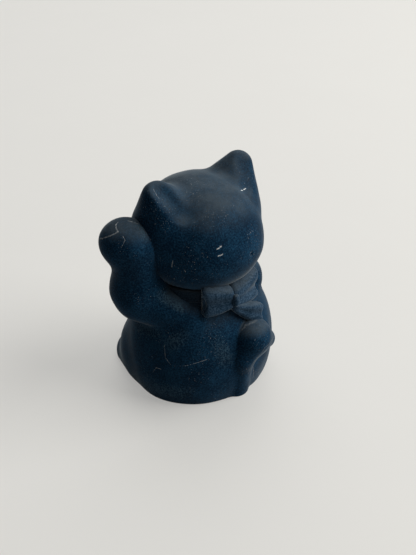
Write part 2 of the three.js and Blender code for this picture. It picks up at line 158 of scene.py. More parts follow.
class CatBodySizes(bpy.types.PropertyGroup):
    """Trunk, haunches and hind feet"""

    base_width: length("Base width", "Widest part of the lower body", 32.3)
    base_depth: length("Base depth", "Lower body from front to back", 28.5)
    base_top: length("Base top", "Height where the lower body closes", 24.4)
    base_bulge: length("Base bulge", "Height of the lower body's widest part", 6.8)
    chest_width: length("Chest width", "Chest from side to side", 23.2)
    chest_depth: length("Chest depth", "Chest from front to back", 23.4)
    chest_height: length("Chest height", "Height of the chest's form", 20)
    chest_level: length("Chest level", "Height of the middle of the chest", 14)
    chest_forward: length("Chest forward", "Chest, neck and head in front of the base's centre", 0.4)
    neck_diameter: length("Neck diameter", "Neck under the head", 19.4)
    neck_seat: length("Neck seat", "Height of the face that the head sits on", 27)
    haunch_width: length("Haunch width", "One haunch from side to side", 13.6)
    haunch_depth: length("Haunch depth", "One haunch from front to back", 15.4)
    haunch_height: length("Haunch height", "Height of a haunch's form", 18.8)
    haunch_inset: length("Haunch inset", "From the side of the base to a haunch's middle", 7.6)
    haunch_forward: length("Haunch forward", "Haunch in front of the base's centre", 5.6)
    haunch_level: length("Haunch level", "Height of a haunch's middle", 4.8)
    foot_width: length("Foot width", "One hind foot from side to side", 9.2)
    foot_length: length("Foot length", "One hind foot from front to back", 10)
    foot_height: length("Foot height", "Hind foot above the floor", 5.2)
    foot_level: length("Foot level", "Height of the foot's middle", 1)
    foot_inset: length("Foot inset", "From the front of the base back to the foot's middle", 2.8)


class CatHeadSizes(bpy.types.PropertyGroup):
    """Head, ears and face"""

    head_width: length("Head width", "Head from side to side", 24.8)
    head_depth: length("Head depth", "Head from front to back", 25.4)
    head_height: length("Head height", "Height of the head without ears", 22.8)
    head_sink: length("Head sink", "How far the neck seat lies inside the head", 4.9)
    jowl_width: length("Jowl width", "Lower half of the head from side to side", 24)
    jowl_depth: length("Jowl depth", "Lower half of the head from front to back", 25)
    jowl_height: length("Jowl height", "Height of the fuller lower half", 15)
    jowl_drop: length("Jowl drop", "Fullest part below the middle of the head", 2.4)
    ear_root_radius: length("Ear root radius", "Roundness of the ear where it leaves the head", 7.8)
    ear_tip_radius: length("Ear tip radius", "Roundness of the ear's tip", 2.9)
    ear_length: length("Ear length", "From the ear's root to its tip", 9.1)
    ear_spacing: length("Ear spacing", "Between the middles of the two ear roots", 13)
    ear_rise: length("Ear rise", "Ear root above the middle of the head", 2.4)
    ear_forward: length("Ear forward", "Ears in front of the middle of the head", 0.4)
    ear_splay: bpy.props.FloatProperty(
        name="Ear splay", description="Lean of an ear to its side",
        default=math.radians(26), subtype="ANGLE",
    )
    left_ear_turn: length("Left ear turn", "Left ear's tip back and towards the middle of the head", 0.6)
    muzzle_width: length("Muzzle width", "One cheek of the muzzle", 6.8)
    muzzle_height: length("Muzzle height", "Height of the muzzle", 5.2)
    muzzle_depth: length("Muzzle depth", "Muzzle from front to back", 5)
    muzzle_spacing: length("Muzzle spacing", "Between the middles of the two cheeks", 5.2)
    muzzle_drop: length("Muzzle drop", "Muzzle below the middle of the head", 3.6)
    eye_spacing: length("Eye spacing", "Between the middles of the eyes", 8.4)
    eye_rise: length("Eye rise", "Eyes above the middle of the head", 1.4)


class CatArmSizes(bpy.types.PropertyGroup):
    """Raised left arm and lowered right arm"""

    upper_arm_radius: length("Upper arm radius", "Thickness of the arm at the shoulder", 5.3)
    elbow_radius: length("Elbow radius", "Thickness of the raised arm at the elbow", 5.3)
    forearm_radius: length("Forearm radius", "Thickness of the raised forearm above the elbow", 5.6)
    wrist_radius: length("Wrist radius", "Thickness of the raised arm under the paw", 4.8)
    wrist_inward: length("Wrist inward", "From the raised paw's middle towards the head", 1.4)
    wrist_back: length("Wrist back", "Wrist behind the raised paw's middle", 1.2)
    wrist_drop: length("Wrist drop", "Wrist below the raised paw's middle", 0.6)
    paw_radius: length("Paw radius", "Raised paw", 4.75)
    shoulder_inset: length("Shoulder inset", "From the neck's side in to the shoulder's middle", 3.2)
    shoulder_back: length("Shoulder back", "Raised arm's shoulder behind the chest's middle", 4.4)
    shoulder_drop: length("Shoulder drop", "Raised arm's shoulder below the neck seat", 8.4)
    elbow_out: length("Elbow out", "Raised elbow beyond the chest's side", 1.6)
    elbow_rise: length("Elbow rise", "Raised elbow above the shoulder", 4.2)
    elbow_forward: length("Elbow forward", "Raised elbow in front of the chest's middle", 2.1)
    forearm_out: length("Forearm out", "Raised forearm beyond the elbow", 0.4)
    forearm_rise: length("Forearm rise", "Raised forearm above the elbow", 1.8)
    paw_out: length("Paw out", "Raised paw's middle beyond the head's side", 3.7)
    paw_forward: length("Paw forward", "Raised paw in front of the neck's middle", 2.5)
    paw_rise: length("Paw rise", "Raised paw above the neck seat", 8.3)
    lowered_shoulder_out: length("Lowered shoulder out", "Right shoulder further out than the left", 1.2)
    lowered_shoulder_back: length("Lowered shoulder back", "Right shoulder behind mid-chest", 3.2)
    lowered_shoulder_drop: length("Lowered shoulder drop", "Right shoulder below the neck seat", 6.4)
    lowered_elbow_radius: length("Lowered elbow radius", "Thickness of the right arm at the elbow", 5.2)
    lowered_elbow_level: length("Lowered elbow level", "Height of the right elbow", 14.5)
    lowered_elbow_out: length("Lowered elbow out", "Right elbow beyond the chest's side", 1.4)
    lowered_elbow_forward: length("Lowered elbow forward", "Right elbow in front of mid-chest", 3.8)
    lowered_forearm_radius: length("Lowered forearm radius", "Thickness of the lowered forearm", 4.8)
    lowered_paw_radius: length("Lowered paw radius", "Paw that rests on the belly", 4.2)
    lowered_paw_level: length("Lowered paw level", "Height of the paw on the belly", 11)
    lowered_paw_spread: length("Lowered paw spread", "Lowered paw to the middle of the belly", 7.5)
    lowered_paw_forward: length("Lowered paw forward", "Lowered paw in front of the neck's middle", 12.4)
    toe_spacing: length("Toe spacing", "Between the grooves of a paw", 2.6)


class CatTailSizes(bpy.types.PropertyGroup):
    """Tail that stands against the back"""

    foot_radius: length("Tail foot radius", "Thickness of the tail at the floor", 3.2)
    stem_radius: length("Tail stem radius", "Thickness of the stem under the bulb", 2.5)
    bulb_radius: length("Tail bulb radius", "Thickness of the bulb", 3.8)
    tip_radius: length("Tail tip radius", "Roundness of the tip", 2.2)
    foot_sink: length("Tail foot sink", "Middle of the tail's foot inside the back of the base", 3.4)
    sink: length("Tail sink", "Bulb's middle inside the back of the base", 1)
    height: length("Tail height", "Height of the bulb's middle", 13.6)
    bulb_hook: length("Bulb hook", "Bulb's middle to the cat's right", 2.4)
    hook: length("Tail hook", "Tip to the cat's right", 6.1)
    droop: length("Tail droop", "Tip below the bulb's middle", 2.2)


class CatBowSizes(bpy.types.PropertyGroup):
    """Collar band, bow at the nape and bell at the throat"""

    collar_height: length("Collar height", "Width of the band", 2.8)
    collar_proud: length("Collar proud", "Band beyond the body at its lower edge", 0.9)
    collar_drop: length("Collar drop", "Band's middle below the neck seat", 2.6)
    bow_proud: length("Bow proud", "Middle of the bow beyond the band", 0.7)
    bow_turn: length("Bow turn", "Middle of the bow to the cat's left of the nape", 1.2)
    knot_width: length("Knot width", "Knot from side to side", 1.5)
    knot_height: length("Knot height", "Height of the knot", 2.8)
    knot_depth: length("Knot depth", "Knot from front to back", 3.8)
    knot_drop: length("Knot drop", "Knot's middle below the band's middle", 0.9)
    left_loop_length: length("Left loop length", "From the knot's middle to the loop's end", 6.3)
    right_loop_length: length("Right loop length", "From the knot's middle to the loop's end", 8)
    loop_rise: length("Loop rise", "Loops' middle above the knot's middle", 0.4)
    loop_height: length("Loop height", "Height of a loop at its end", 7.4)
    loop_root_height: length("Loop root height", "Height of a loop at the knot", 4.5)
    loop_thickness: length("Loop thickness", "Thickness of a loop", 3.2)
    end_length: length("Ribbon end length", "From the knot's middle to the ribbon's end", 5.9)
    end_width: length("Ribbon end width", "Width of the ribbon end where it is cut off", 6.2)
    end_root_width: length("Ribbon root width", "Width of the ribbon end at the knot", 2)
    end_thickness: length("Ribbon end thickness", "Thickness of the ribbon end", 2.6)
    end_root_drop: length("Ribbon root drop", "Ribbon's root below the knot's middle", 1.6)
    end_drop: length("Ribbon end drop", "Ribbon's end below the knot's middle", 6.1)
    bell_diameter: length("Bell diameter", "Ball of the bell", 5.2)
    bell_standoff: length("Bell standoff", "Bell's middle in front of the band", 1.5)
    bell_hang: length("Bell hang", "Bell's middle below the band's middle", 3.3)


class CatFinish(bpy.types.PropertyGroup):
    """Matte resin, dust and wear, with painted light on the upper sides and painted highlights on some
    ridges
    """

    resin: colour("Resin", "Colour of the cast resin", 0.0025, 0.021, 0.052)
    resin_worn: colour("Worn resin", "Colour of rubbed edges", 0.07, 0.09, 0.11)
    bow: colour("Bow resin", "Colour of the collar, bow and bell", 0.0125, 0.042, 0.082)
    # This colour lightens the faces that look up: partly settled dust, partly painted light from above.
    dust: colour("Dust", "Colour of the settled dust", 0.078, 0.1, 0.118)
    bloom: colour("Bloom", "Colour of the fine blue bloom on the resin", 0.012, 0.054, 0.11)
    # Also paints the highlights on the lit shoulder ridge and the top of the haunch, as well as rubbed-in
    # dust.
    powder: colour("Powder", "Colour of dust rubbed into the resin in patches", 0.045, 0.09, 0.13)
    # Also the colour of the painted highlights along the tail's rims.
    chip: colour("Chip", "Colour of the bare resin in chips and scratches", 0.55, 0.58, 0.6)
    # Also sets how strongly the upper sides are lightened by painted light from above.
    dust_amount: share("Dust amount", "How much dust lies on the upper sides", 0.65)
    wear_amount: share("Wear amount", "How far the edges are rubbed", 0.35)


class TableSettings(bpy.types.PropertyGroup):
    """Pale table and soft light"""

    table: colour("Table", "Colour of the table top", 0.38, 0.376, 0.361)
    backdrop: share("Backdrop", "How much paler the table looks to the camera than its own colour", 0.35)
    window: power("Window", "Power of the large lamp behind the cat, at its right", 5.8)
    ceiling: power("Ceiling", "Power of the broad lamp high in front of the cat", 4.4)
    room: share("Room", "Strength of the light from all round", 0.035)


# Fields: negative inside a form, positive outside, in metres. Each takes rows of points.


def spot(x, y, z):
    return np.array((x, y, z), float)


def ellipsoid(centre, width, depth, height):
    radii = spot(width, depth, height) / 2

    def field(points):
        q = (points - centre) / radii + 1e-9
        level = np.linalg.norm(q, axis=1)
        return level * (level - 1) / np.linalg.norm(q / radii, axis=1)

    return field


def round_cone(start, end, start_radius, end_radius):
    """A ball that travels from start to end while its radius changes."""
    run = end - start
    reach = np.linalg.norm(run)
    axis = run / reach
    slope = (end_radius - start_radius) / reach
    lean = slope / math.sqrt(1 - slope * slope)

    def field(points):
        q = points - start
        along = q @ axis
        off = np.sqrt(np.maximum((q * q).sum(1) - along * along, 0))
        t = np.clip(along + off * lean, 0, reach)
        return np.hypot(along - t, off) - start_radius - slope * t

    return field


def smooth_min(a, b, radius):
    h = np.clip(0.5 + (b - a) / (2 * radius), 0, 1)
    return b + (a - b) * h - radius * h * (1 - h)


def blend(radius, *fields):
    """Joins forms with a rounded valley."""

    def field(points):
        value = fields[0](points)
        for other in fields[1:]:
            value = smooth_min(value, other(points), radius)
        return value

    return field


def carve(form, cutter, radius):
    """Takes the cutter out of the form and rounds the edge."""

    def field(points):
        return -smooth_min(-form(points), cutter(points), radius)

    return field


def skirt(host, guests, spread, depth):
    """Draws the host up round its guests in fillets that end just under their surfaces."""

    def field(points):
        bare = host(points)
        value = bare
        for guest in guests:
            value = smooth_min(value, guest(points) + TUCK, spread)
        return np.maximum(value, bare - depth)

    return field


def seated(form, *carriers):
    """Ends a form a little way inside the pieces that carry it."""

    def field(points):
        value = form(points)
        for carrier in carriers:
            value = np.maximum(value, -carrier(points) - SEAT_DEPTH)
        return value

    return field


def standing(form):
    """Keeps what lies above the floor, with a rounded lower edge."""

    def field(points):
        return -smooth_min(-form(points), points[:, 2], FLOOR_EDGE)

    return field


def below(form, level):
    def field(points):
        return np.maximum(form(points), points[:, 2] - level)

    return field


def uneven(form, amount, size, seed):
    """Adds the low waves of a surface that was modelled by hand."""
    dice = np.random.default_rng(seed)
    waves = dice.normal(size=(WAVE_COUNT, 3))
    spacing = size * dice.uniform(0.7, 1.6, WAVE_COUNT)
    waves *= (2 * math.pi / spacing / np.linalg.norm(waves, axis=1))[:, None]
    phases = dice.uniform(0, 2 * math.pi, WAVE_COUNT)

    def field(points):
        return form(points) + amount * np.sin(points @ waves.T + phases).mean(1)

    return field


def rounded_box(sides, rounding):
    """Distance to a box with rounded edges, from the distances beyond its sides."""
    q = np.stack(sides, 1) + rounding
    return np.linalg.norm(np.maximum(q, 0), axis=1) + np.minimum(q.max(1), 0) - rounding


def slope_of(field, points, reach):
    steps = np.eye(3) * reach
    return np.stack([field(points + s) - field(points - s) for s in steps], 1) / (2 * reach)


def unit(rows):
    return rows / np.linalg.norm(rows, axis=1)[:, None]


# Places on a surface


def way_out(form, start, way):
    """Distance from a place inside a form to its surface."""
    near, far = 0, BEYOND
    for _ in range(HALVINGS):
        middle = (near + far) / 2
        if form((start + middle * way)[None])[0] < 0:
            near = middle
        else:
            far = middle
    return near


def heading(azimuth, elevation):
    """Direction in degrees round from the cat's front, by way of its left, and degrees up."""
    turn = math.radians(azimuth)
    lift = math.radians(elevation)
    return spot(math.sin(turn) * math.cos(lift), -math.cos(turn) * math.cos(lift), math.sin(lift))


def on_surface(form, middle, *angles):
    """Place where a direction from the form's middle leaves the form."""
    way = heading(*angles)
    return middle + way_out(form, middle, way) * way


def press(form, places, radius, depth):
    """Presses a soft groove into a form, between two places on its surface."""
    ends = np.array(places)
    nearby = 0.2 * MM
    start, end = ends + (radius - depth) * unit(slope_of(form, ends, nearby))
    return carve(form, round_cone(start, end, radius, radius), GROOVE_EDGE)


def placed_marks(form, middle, marks):
    """Start, end, half width and strength of each stroke of the marks on a form."""
    strokes = []
    for half_width, strength, *angles in marks:
        last = len(angles) - 1
        stops = np.linspace(0, last, STROKES * last + 1)
        turns, lifts = (np.interp(stops, range(len(angles)), column) for column in zip(*angles))
        places = [on_surface(form, middle, *pair) for pair in zip(turns, lifts)]
        strokes += [(a, b, half_width * MM, strength) for a, b in zip(places, places[1:])]
    return strokes


# Meshes


def sampled(field, grid, step):
    """Values of a field on a grid: rough far from the surface, exact near it, and closed at the ends."""
    coarse = grid[::COARSE, ::COARSE, ::COARSE]
    rough = field(coarse.reshape(-1, 3)).reshape(coarse.shape[:3])
    nearest = [
        np.minimum((np.arange(fine) + COARSE // 2) // COARSE, few - 1)
        for fine, few in zip(grid.shape[:3], rough.shape)
    ]
    values = rough[np.ix_(*nearest)]
    close = np.abs(values) < 3 * COARSE * step
    values[close] = field(grid[close])
    for axis in range(3):
        layers = np.moveaxis(values, axis, 0)
        for end in (0, -1):
            layers[end] = np.abs(layers[end]) + 1e-9
    return values


def crossing_quads(index, axis, crossed, leaves):
    """Quads round the grid edges along one axis that the surface crosses, turned outward."""
    u = (axis + 1) % 3
    v = (axis + 2) % 3
    at = np.argwhere(crossed)
    corners = []
    for du, dv in ((1, 1), (0, 1), (0, 0), (1, 0)):
        cell = at.copy()
        cell[:, u] -= du
        cell[:, v] -= dv
        corners.append(index[tuple(cell.T)])
    ring = np.stack(corners, 1)
    inward = ~leaves[crossed]
    ring[inward] = ring[inward][:, ::-1]
    return ring


def surface_net(field, low, high, step):
    """Points and quads of a field's closed surface, with one point in each grid cell that it crosses."""
    axes = [np.arange(a, b + step, step) for a, b in zip(low, high)]
    grid = np.stack(np.meshgrid(*axes, indexing="ij"), -1)
    values = sampled(field, grid, step)
    cells = tuple(n - 1 for n in values.shape)
    total = np.zeros(cells + (3,))
    count = np.zeros(cells)
    crossings = []
    for axis in range(3):
        near = [slice(None)] * 3
        far = [slice(None)] * 3
        near[axis] = slice(None, -1)
        far[axis] = slice(1, None)
        start = values[tuple(near)]
        end = values[tuple(far)]
        crossed = (start < 0) != (end < 0)
        place = grid[tuple(near)].copy()
        place[..., axis] += step * start / np.where(crossed, start - end, 1)
        place *= crossed[..., None]
        others = [i for i in range(3) if i != axis]
        for shift in ((0, 0), (0, 1), (1, 0), (1, 1)):
            pick = [slice(None)] * 3
            for other, by in zip(others, shift):
                pick[other] = slice(by, by + cells[other])
            total += place[tuple(pick)]
            count += crossed[tuple(pick)]
        crossings.append((axis, crossed, start < 0))
    used = count > 0
    index = np.full(cells, -1)
    index[used] = np.arange(used.sum())
    points = total[used] / count[used][:, None]
    return points, np.concatenate([crossing_quads(index, *crossing) for crossing in crossings])


def settle(field, points, step):
    """Moves points onto the field's surface and gives the surface's directions there."""
    for _ in range(3):
        slope = slope_of(field, points, step / 8)
        move = -field(points)[:, None] * slope / np.maximum((slope * slope).sum(1), 1e-6)[:, None]
        points = points + np.clip(move, -step / 2, step / 2)
    return points, unit(slope_of(field, points, step / 4))


def ridges(points, quads, normals, step):
    """How far each point stands above its neighbours, smoothed, for wear on edges."""
    edges = np.concatenate([quads[:, (i, (i + 1) % 4)] for i in range(4)])
    near = np.zeros(len(points))
    np.add.at(near, edges[:, 0], 1)
    around = np.zeros_like(points)
    np.add.at(around, edges[:, 0], points[edges[:, 1]])
    ridge = ((points - around / near[:, None]) * normals).sum(1) / step
    for _ in range(3):
        sums = np.zeros(len(points))
        np.add.at(sums, edges[:, 0], ridge[edges[:, 1]])
        ridge = (ridge + sums / near) / 2
    return ridge


def add_piece(name, node, field, step, material):
    """Meshes a field in the box of its node and puts the piece in the node's place."""
    low, high = (np.array(corner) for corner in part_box(node))
    points, quads = surface_net(field, low - MESH_MARGIN, high + MESH_MARGIN, step)
    points, normals = settle(field, points, step)
    mesh = bpy.data.meshes.new(name)
    mesh.from_pydata(points.tolist(), [], quads.tolist())
    mesh.polygons.foreach_set("use_smooth", np.ones(len(mesh.polygons), bool))
    mesh.attributes.new("ridge", "FLOAT", "POINT").data.foreach_set(
        "value", ridges(points, quads, normals, step).astype(np.float32)
    )
    mesh.normals_split_custom_set_from_vertices(normals.tolist())
    mesh.materials.append(material)
    piece = bpy.data.objects.new(name, mesh)
    bpy.context.scene.collection.objects.link(piece)
    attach(piece, "root")
    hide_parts(node)
    return piece


# Forms of the cat


def neck_line(scene):
    return -scene.cat_body.chest_forward


def body_form(scene):
    b = scene.cat_body
    y = neck_line(scene)
    chest = spot(0, y, b.chest_level)
    neck = b.neck_diameter / 2
    base_height = 2 * (b.base_top - b.base_bulge)
    trunk = blend(
        NECK_VALLEY,
        blend(
            TRUNK_VALLEY,
            ellipsoid(spot(0, 0, b.base_bulge), b.base_width, b.base_depth, base_height),
            ellipsoid(chest, b.chest_width, b.chest_depth, b.chest_height),
        ),
        round_cone(chest, spot(0, y, b.neck_seat), neck, neck),
    )
    haunches = [
        ellipsoid(
            spot(side * (b.base_width / 2 - b.haunch_inset), -b.haunch_forward, b.haunch_level),
            b.haunch_width, b.haunch_depth, b.haunch_height,
        )
        for side in (LEFT, RIGHT)
    ]
    return blend(HAUNCH_VALLEY, trunk, *haunches)


def head_centre(scene):
    h = scene.cat_head
    return spot(0, neck_line(scene), scene.cat_body.neck_seat - h.head_sink + h.head_height / 2)


def ear_places(scene, side):
    """Middles of the ear's root and tip."""
    h = scene.cat_head
    root = head_centre(scene) + spot(side * h.ear_spacing / 2, -h.ear_forward, h.ear_rise)
    tip = root + h.ear_length * spot(side * math.sin(h.ear_splay), 0, math.cos(h.ear_splay))
    turn = h.left_ear_turn if side == LEFT else 0
    return root, tip + spot(-turn, turn, 0)


def skull_form(scene):
    """Head and ears, without the face."""
    h = scene.cat_head
    ears = [
        round_cone(*ear_places(scene, side), h.ear_root_radius, h.ear_tip_radius)
        for side in (LEFT, RIGHT)
    ]
    middle = head_centre(scene)
    ball = ellipsoid(middle, h.head_width, h.head_depth, h.head_height)
    jowl = ellipsoid(middle - spot(0, 0, h.jowl_drop), h.jowl_width, h.jowl_depth, h.jowl_height)
    return blend(EAR_VALLEY, blend(JOWL_VALLEY, ball, jowl), *ears)


def head_form(scene):
    h = scene.cat_head
    middle = head_centre(scene)
    front = middle[1] - h.head_depth / 2
    muzzle = spot(0, front + MUZZLE_SINK, middle[2] - h.muzzle_drop)
    cheeks = [
        ellipsoid(
            muzzle + spot(side * h.muzzle_spacing / 2, 0, 0),
            h.muzzle_width, h.muzzle_depth, h.muzzle_height,
        )
        for side in (LEFT, RIGHT)
    ]
    nose = ellipsoid(spot(0, front - NOSE_PROUD, muzzle[2] + NOSE_RISE), *NOSE)
    form = blend(NOSE_VALLEY, blend(MUZZLE_VALLEY, skull_form(scene), *cheeks), nose)
    for side in (LEFT, RIGHT):
        root, tip = ear_places(scene, side)
        hollow = root + HOLLOW_WAY * (tip - root) - spot(0, HOLLOW_FORWARD, 0)
        form = carve(form, ellipsoid(hollow, *EAR_HOLLOW), HOLLOW_EDGE)
        lid = middle + spot(side * h.eye_spacing / 2, -h.head_depth / 2 + LID_SINK, h.eye_rise)
        form = blend(LID_VALLEY, form, ellipsoid(lid, *EYELID))
        behind = [on_surface(form, middle, 180 - side * turn, up) for turn, up in EAR_GROOVE_ANGLES]
        form = press(form, behind, EAR_GROOVE_RADIUS, EAR_GROOVE_DEPTH[side])
    pinhole = ellipsoid(on_surface(form, middle, *PINHOLE_ANGLES), *PINHOLE)
    return carve(form, pinhole, PINHOLE_EDGE)


def raised_arm_places(scene):
    a = scene.cat_arms
    b = scene.cat_body
    y = neck_line(scene)
    level = b.neck_seat - a.shoulder_drop
    shoulder = spot(b.neck_diameter / 2 - a.shoulder_inset, y + a.shoulder_back, level)
    elbow = spot(b.chest_width / 2 + a.elbow_out, y - a.elbow_forward, level + a.elbow_rise)
    forearm = elbow + spot(a.forearm_out, 0, a.forearm_rise)
    paw = spot(scene.cat_head.head_width / 2 + a.paw_out, y - a.paw_forward, b.neck_seat + a.paw_rise)
    wrist = paw + spot(-a.wrist_inward, a.wrist_back, -a.wrist_drop)
    return shoulder, elbow, forearm, wrist, paw


def raised_arm_form(scene):
    a = scene.cat_arms
    shoulder, elbow, forearm, wrist, paw = raised_arm_places(scene)
    pad = 2 * a.paw_radius
    return blend(
        ARM_VALLEY,
        round_cone(shoulder, elbow, a.upper_arm_radius, a.elbow_radius),
        round_cone(elbow, forearm, a.elbow_radius, a.forearm_radius),
        round_cone(forearm, wrist, a.wrist_radius, a.wrist_radius),
        ellipsoid(paw, pad, pad, pad),
    )


def lowered_arm_places(scene):
    a = scene.cat_arms
    b = scene.cat_body
    y = neck_line(scene)
    out = b.neck_diameter / 2 - a.shoulder_inset + a.lowered_shoulder_out
    shoulder = spot(-out, y + a.lowered_shoulder_back, b.neck_seat - a.lowered_shoulder_drop)
    side = -b.chest_width / 2 - a.lowered_elbow_out
    elbow = spot(side, y - a.lowered_elbow_forward, a.lowered_elbow_level)
    paw = spot(-a.lowered_paw_spread, y - a.lowered_paw_forward, a.lowered_paw_level)
    return shoulder, elbow, paw


def lowered_arm_form(scene):
    a = scene.cat_arms
    shoulder, elbow, paw = lowered_arm_places(scene)
    return blend(
        ARM_VALLEY,
        round_cone(shoulder, elbow, a.upper_arm_radius, a.lowered_elbow_radius),
        round_cone(elbow, paw, a.lowered_forearm_radius, a.lowered_paw_radius),
    )


def toes(form, paw, radius, spacing):
    """Presses two grooves into the front of a paw."""
    for side in (LEFT, RIGHT):
        groove = ellipsoid(paw + spot(side * spacing / 2, -radius, 0), *TOE_GROOVE)
        form = carve(form, groove, TOE_EDGE)
    return form


def foot_place(scene, side):
    b = scene.cat_body
    out = b.base_width / 2 - b.haunch_inset
    return spot(side * out, -b.base_depth / 2 + b.foot_inset, b.foot_level)


def foot_form(scene, side):
    b = scene.cat_body
    height = 2 * (b.foot_height - b.foot_level)
    return ellipsoid(foot_place(scene, side), b.foot_width, b.foot_length, height)


def tail_form(scene):
    t = scene.cat_tail
    back = scene.cat_body.base_depth / 2
    foot = spot(0, back - t.foot_sink, 0)
    bend = spot(0, back - t.sink, t.height - t.bulb_radius)
    bulb = spot(-t.bulb_hook, back - t.sink, t.height)
    tip = spot(-t.hook, back - t.sink, t.height - t.droop)
    return blend(
        TAIL_VALLEY,
        round_cone(foot, bend, t.foot_radius, t.stem_radius),
        round_cone(bend, bulb, t.stem_radius, t.bulb_radius),
        round_cone(bulb, tip, t.bulb_radius, t.tip_radius),
    )


def collar_level(scene):
    return scene.cat_body.neck_seat - scene.cat_bow.collar_drop


def collar_radius(scene):
    w = scene.cat_bow
    foot = spot(0, neck_line(scene), collar_level(scene) - w.collar_height / 2)
    return way_out(body_form(scene), foot, spot(1, 0, 0)) + w.collar_proud


def collar_form(scene):
    w = scene.cat_bow
    y = neck_line(scene)
    level = collar_level(scene)
    middle = collar_radius(scene) - w.collar_proud
    rounding = 0.5 * MM

    def field(points):
        out = np.hypot(points[:, 0], points[:, 1] - y) - middle
        height = np.abs(points[:, 2] - level) - w.collar_height / 2
        return rounded_box((np.abs(out) - w.collar_proud, height), rounding)

    return field


def bow_radius(scene):
    return collar_radius(scene) + scene.cat_bow.bow_proud


def knot_level(scene):
    return collar_level(scene) - scene.cat_bow.knot_drop


def nape_way(scene, along):
    """Direction from the neck's middle to a place along the bow."""
    angle = (along + scene.cat_bow.bow_turn) / bow_radius(scene)
    return spot(math.sin(angle), math.cos(angle), 0)


def bed_radius(scene, along, level):
    """Distance from the neck's middle at which a ribbon lies, on the neck or on the back below it."""
    middle = spot(0, neck_line(scene), level)
    back = way_out(body_form(scene), middle, nape_way(scene, along))
    return max(back + scene.cat_bow.bow_proud, bow_radius(scene))


def ribbon_form(scene, side, reach, heights, drops, thickness, fold, lean=0):
    """A band that widens as it leaves the knot, leans in at its top and is creased towards the knot."""
    y = neck_line(scene)
    level = knot_level(scene)
    bow = bow_radius(scene)
    turn = scene.cat_bow.bow_turn
    rounding = 0.4 * thickness
    far = bed_radius(scene, side * reach, level - drops[1])
    fold_place, fold_width, fold_depth = fold

    def field(points):
        across = points[:, 1] - y
        along = side * (bow * np.arctan2(points[:, 0], across) - turn)
        way = np.clip((along - RIBBON_START) / (reach - RIBBON_START), 0, 1)
        half = (heights[0] + (heights[1] - heights[0]) * way) / 2
        height = points[:, 2] - level + drops[0] + (drops[1] - drops[0]) * way
        bed = bow + (far - bow) * way - lean * np.clip(height / half, 0, 1) ** 2
        out = np.hypot(points[:, 0], across) - bed
        ends = np.maximum(along - reach, RIBBON_START - along)
        band = rounded_box((np.abs(height) - half, ends, np.abs(out) - thickness / 2), rounding)
        crease = np.exp(-(((height / half - fold_place) / fold_width) ** 2))
        return band + fold_depth * crease * (ROOT_CREASE + (1 - ROOT_CREASE) * way) * (out > 0)

    return field


def loop_form(scene, side):
    """A loop of the bow, hollow between its upper and lower fold."""
    w = scene.cat_bow
    heights = (w.loop_root_height, w.loop_height)
    drops = (-w.loop_rise, -w.loop_rise)
    reach = w.left_loop_length if side == LEFT else w.right_loop_length
    return ribbon_form(scene, side, reach, heights, drops, w.loop_thickness, LOOP_FOLD, LOOP_LEAN)


def ribbon_end_form(scene, side):
    w = scene.cat_bow
    heights = (w.end_root_width, w.end_width)
    drops = (w.end_root_drop, w.end_drop)
    return ribbon_form(scene, side, w.end_length, heights, drops, w.end_thickness, END_FOLD)


def knot_form(scene):
    w = scene.cat_bow
    centre = spot(0, neck_line(scene), knot_level(scene)) + bow_radius(scene) * nape_way(scene, 0)
    half = spot(w.knot_width, w.knot_depth, w.knot_height) / 2
    rounding = 0.7 * MM

    def field(points):
        return rounded_box((np.abs(points - centre) - half).T, rounding)

    return field


def bell_form(scene):
    """A ball with a rim round its middle and a slot below."""
    w = scene.cat_bow
    radius = w.bell_diameter / 2
    out = collar_radius(scene) + w.bell_standoff
    centre = spot(0, neck_line(scene) - out, collar_level(scene) - w.bell_hang)
    rim_radius = 0.4 * MM
    slot_half_width = 0.3 * MM
    slot_height = 1.8 * MM
    slot_depth = 0.8 * MM

    def ball(points):
        return np.linalg.norm(points - centre, axis=1) - radius

    def rim(points):
        q = points - centre
        return np.hypot(np.hypot(q[:, 0], q[:, 1]) - radius, q[:, 2]) - rim_radius

    def slot(points):
        q = points - centre
        wide = np.abs(q[:, 0]) - slot_half_width
        return np.maximum(np.maximum(wide, q[:, 2] + radius - slot_height), -ball(points) - slot_depth)

    return carve(blend(RIM_VALLEY, ball, rim), slot, SLOT_EDGE)


# Marks of use and painted highlights: half width in millimetres, strength, then directions from the middle
# of a piece


HEAD_MARKS = (
    (0.17, 1.0, (228, 46), (232, 44)),
    (0.15, 1.0, (235, 43), (239, 41)),
    (0.2, 0.9, (157, 11), (161, 13)),
    (0.15, 0.8, (157, 5), (161, 6)),
    (0.12, 0.4, (119, 0), (118, -6)),
    (0.1, 0.5, (129, -7), (130, -9)),
    (0.07, 0.3, (93, 49), (101, 45)),
    (0.1, 0.3, (94, 21), (101, 15)),
)
PAW_MARKS = (
    (0.2, 0.3, (69, 20), (104, 41), (127, 54), (81, 79)),
    (0.07, 0.4, (142, 23), (150, 35), (145, 44)),
    (0.12, 0.35, (215, 77), (219, 55)),
    (1.3, 0.9, (219, 55), (200, 30)),
)
ELBOW_POWDER_AND_HIGHLIGHT_MARKS = (
    # Powder and painted highlight along the lit ridge of the shoulder.
    (1.6, 0.9, (184, 22), (197, 3), (202, -7)),
)
BODY_MARKS = (
    (0.07, 0.4, (113, -5), (115, -14), (120, -19), (131, -18), (147, -14)),
    (0.1, 0.45, (105, -27), (108, -23), (112, -23)),
    # Painted highlight, partly dust: the lower end of the lit rim at the tail's right edge.
    (0.2, 0.14, (190, -34), (192, -43)),
    # Powder and painted highlight along the lit top of the haunch below the elbow.
    (2.2, 0.6, (75, -3), (105, 3)),
    (2.2, 0.6, (115, -5), (128, 4)),
    (2.4, 0.6, (156, -2), (163, -19)),
    (3, 0.6, (83, -43), (110, -38), (130, -38)),
)
